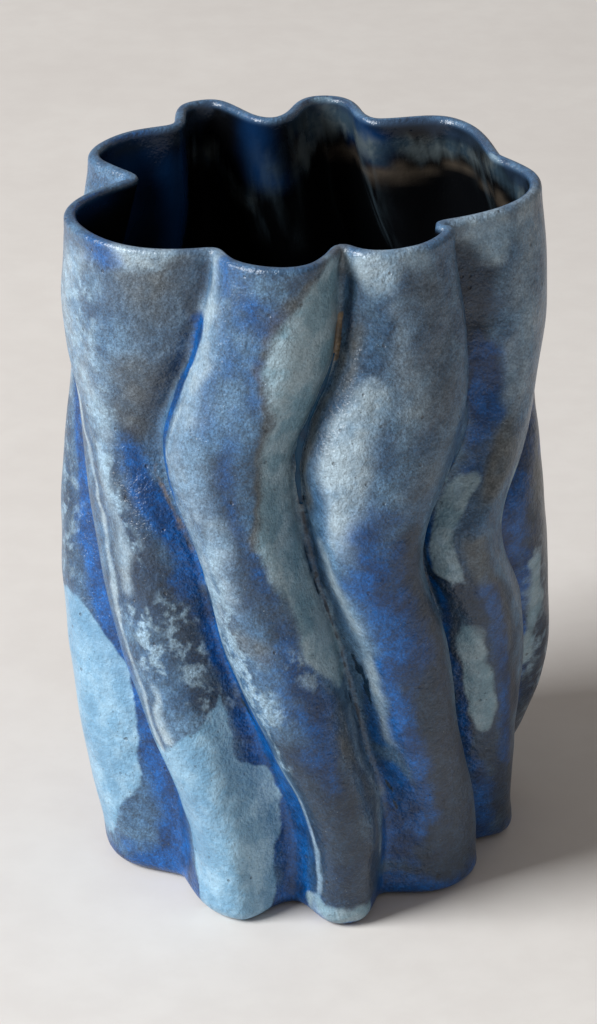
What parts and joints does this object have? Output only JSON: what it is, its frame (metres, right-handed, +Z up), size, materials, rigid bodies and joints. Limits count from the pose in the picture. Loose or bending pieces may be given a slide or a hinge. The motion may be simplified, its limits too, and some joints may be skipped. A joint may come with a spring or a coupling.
{
  "type": "pottery vase",
  "caption": "Tall hand-built stoneware vase with deep swaying folds in its wall, an open wavy mouth and a flat foot, for holding cut stems or standing alone.",
  "frame": {"origin": "on the ground plane, on the axis that the wall is built round", "axes": "+Z up to the lip, -Y to the front, where the sharpest fold is, +X to the right"},
  "size_m": [0.1603, 0.1541, 0.23],
  "materials": {
    "bare_clay": "unglazed, fired clay",
    "body_glaze": "satin, mottled grey-blue and cobalt",
    "liner_glaze": "gloss, near black",
    "thick_glaze": "gloss, dark teal"
  },
  "bodies": {
    "root": {"floor_slab": "bare_clay", "wall_slab_left": "body_glaze", "wall_slab_front": "body_glaze", "wall_slab_back": "body_glaze", "corner_coil": "liner_glaze", "glaze_pool": "liner_glaze", "crease_glaze_front": "thick_glaze", "crease_glaze_right": "thick_glaze"}
  },
  "joints": []
}
